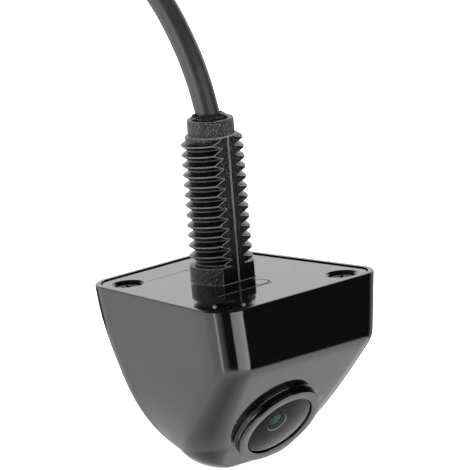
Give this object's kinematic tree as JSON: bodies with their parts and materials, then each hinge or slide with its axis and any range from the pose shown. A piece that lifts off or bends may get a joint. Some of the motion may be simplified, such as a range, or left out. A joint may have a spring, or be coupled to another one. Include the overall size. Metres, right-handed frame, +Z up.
{
  "type": "backup camera",
  "caption": "Small stud-mount reversing camera: wedge-shaped gloss black head with a sloping lens, hollow threaded stem, cable pigtail and screw-lock plug.",
  "frame": {"origin": "on the threaded stem's axis, in the plane of the housing's rim, which seats on the panel", "axes": "+Z up along the stem, out of the housing; -Y towards the side that the lens looks from, which is 39 degrees below the horizontal; +X across the housing"},
  "size_m": [0.0362, 0.1174, 0.0681],
  "materials": {
    "gloss_black": "high gloss black, die-cast and coated",
    "black_metal": "black anodised",
    "lens_glass": "polished, green anti-reflection coating",
    "ir_glass": "polished filter glass",
    "rubber": "matte black",
    "screw_steel": "black oxide",
    "black_plastic": "moulded, fine grain",
    "sensor_die": "glazed sensor package",
    "circuit_board": "green solder mask",
    "ferrite": "dark grey sintered",
    "white_plastic": "natural nylon",
    "red_wire": "red wire jacket",
    "black_wire": "black wire jacket",
    "yellow_wire": "yellow wire jacket",
    "green_wire": "green wire jacket",
    "cable_jacket": "satin black cable jacket",
    "sealant": "glossy black potting bead",
    "tie_plastic": "black plastic strap",
    "insert_plastic": "dark grey insert",
    "contact_brass": "plated contact",
    "seal_rubber": "red sealing ring"
  },
  "bodies": {
    "camera": {"housing": "gloss_black", "stem_plate": "gloss_black", "lens_barrel": "black_metal", "lens_hood": "black_metal", "aperture_ring": "black_metal", "front_glass": "lens_glass", "second_lens": "lens_glass", "third_lens": "lens_glass", "rear_lens": "lens_glass", "ir_filter": "ir_glass", "cover_gasket": "rubber", "glass_seal": "rubber", "barrel_seal": "rubber", "plug_boot": "rubber", "cover_screw_1": "screw_steel", "cover_screw_2": "screw_steel", "cover_screw_3": "screw_steel", "cover_screw_4": "screw_steel", "holder_screw_1": "screw_steel", "holder_screw_2": "screw_steel", "lens_holder": "black_plastic", "board_header": "black_plastic", "plug_body": "black_plastic", "image_sensor": "sensor_die", "sensor_board": "circuit_board", "power_board": "circuit_board", "regulator_coil": "ferrite", "wire_socket": "white_plastic", "wire_plug": "white_plastic", "power_wire": "red_wire", "ground_wire": "black_wire", "video_wire": "yellow_wire", "trigger_wire": "green_wire", "cable_in_stem": "cable_jacket", "cord_lead": "cable_jacket", "cord_coil": "cable_jacket", "cord_tail": "cable_jacket", "stem_sealant": "sealant", "coil_tie": "tie_plastic", "contact_insert": "insert_plastic", "contact_1": "contact_brass", "contact_2": "contact_brass", "contact_3": "contact_brass", "contact_4": "contact_brass", "plug_seal": "seal_rubber"},
    "coupling_ring": {"coupling_ring": "black_plastic"}
  },
  "joints": [
    {"name": "coupling_turn", "type": "hinge", "parent": "camera", "child": "coupling_ring", "pos_m": [-0.008, 0.09502, -0.00884], "axis": [0, 0.9816, 0.1908], "continuous": true}
  ]
}
